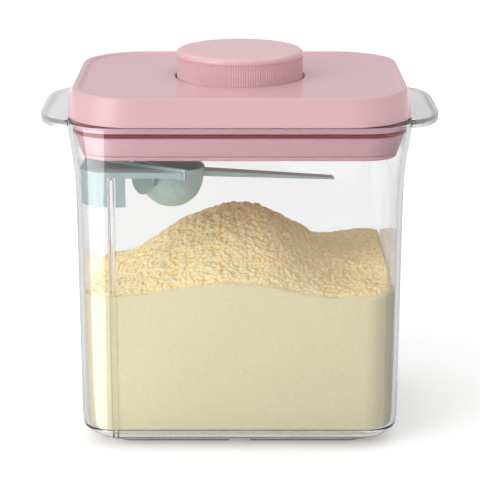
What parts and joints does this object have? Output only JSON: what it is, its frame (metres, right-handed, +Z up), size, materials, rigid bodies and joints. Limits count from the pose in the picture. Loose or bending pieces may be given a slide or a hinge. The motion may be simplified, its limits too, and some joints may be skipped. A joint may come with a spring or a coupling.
{
  "type": "formula dispenser",
  "caption": "Clear airtight box for infant milk powder with a push-button sealing lid, side grips, a corner leveller and a hanging measuring scoop.",
  "frame": {"origin": "on the standing surface, under the middle of the body's foot ring", "axes": "+Z up, +X to the right with the long side and the grips, -Y to the front, where the leveller and the scoop sit"},
  "size_m": [0.2, 0.1346, 0.1939],
  "materials": {
    "clear_plastic": "polished clear plastic",
    "pink_plastic": "satin moulded plastic",
    "knurled_pink_plastic": "satin moulded plastic with a fine fluted side",
    "red_silicone": "smooth silicone",
    "mint_plastic": "satin moulded plastic",
    "white_plastic": "plain moulded plastic",
    "spring_steel": "drawn steel wire and plated screws",
    "milk_powder": "fine pale cream powder"
  },
  "bodies": {
    "container": {"container_body": "clear_plastic", "milk_powder": "milk_powder"},
    "lid": {"lid_cover": "pink_plastic", "lid_base": "pink_plastic", "lid_bottom_cover": "pink_plastic", "seal_gasket": "red_silicone", "latch_pin": "spring_steel", "main_spring": "spring_steel", "lid_screw_1": "spring_steel", "lid_screw_2": "spring_steel", "lid_screw_3": "spring_steel", "lid_screw_4": "spring_steel"},
    "button": {"button_cap": "knurled_pink_plastic", "button_plunger": "white_plastic", "plunger_screw_1": "spring_steel", "plunger_screw_2": "spring_steel"},
    "slide_right": {"seal_slide_right": "white_plastic"},
    "slide_back": {"seal_slide_back": "white_plastic"},
    "slide_left": {"seal_slide_left": "white_plastic"},
    "slide_front": {"seal_slide_front": "white_plastic"},
    "latch": {"latch_arm": "white_plastic"},
    "leveller": {"leveller": "mint_plastic"},
    "scoop": {"scoop": "mint_plastic"}
  },
  "joints": [
    {"name": "lid_lift", "type": "slide", "parent": "container", "child": "lid", "axis": [0, 0, 1], "range_m": [0, 0.06]},
    {"name": "button_press", "type": "slide", "parent": "lid", "child": "button", "axis": [0, 0, -1], "range_m": [0, 0.012], "stiffness_N_per_m": 300, "springref_m": -0.008, "deforming": ["main_spring"]},
    {"name": "slide_right_push", "type": "slide", "parent": "lid", "child": "slide_right", "axis": [1, 0, 0], "range_m": [0, 0.0015]},
    {"name": "slide_back_push", "type": "slide", "parent": "lid", "child": "slide_back", "axis": [0, 1, 0], "range_m": [0, 0.0015]},
    {"name": "slide_left_push", "type": "slide", "parent": "lid", "child": "slide_left", "axis": [-1, 0, 0], "range_m": [0, 0.0015]},
    {"name": "slide_front_push", "type": "slide", "parent": "lid", "child": "slide_front", "axis": [0, -1, 0], "range_m": [0, 0.0015]},
    {"name": "latch_swing", "type": "hinge", "parent": "lid", "child": "latch", "pos_m": [0.016, 0.0152, 0.1552], "axis": [0, 1, 0], "range_deg": [0, 7]},
    {"name": "leveller_lift", "type": "slide", "parent": "container", "child": "leveller", "axis": [0, 0, 1], "range_m": [0, 0.0016]},
    {"name": "scoop_lift", "type": "slide", "parent": "leveller", "child": "scoop", "axis": [0, 0, 1], "range_m": [0, 0.0018]}
  ],
  "couplings": [
    {"joint": "slide_right_push", "follows": "button_press", "ratio": 0.125},
    {"joint": "slide_back_push", "follows": "button_press", "ratio": 0.125},
    {"joint": "slide_left_push", "follows": "button_press", "ratio": 0.125},
    {"joint": "slide_front_push", "follows": "button_press", "ratio": 0.125},
    {"joint": "latch_swing", "follows": "button_press", "rad_per_m": 10}
  ]
}
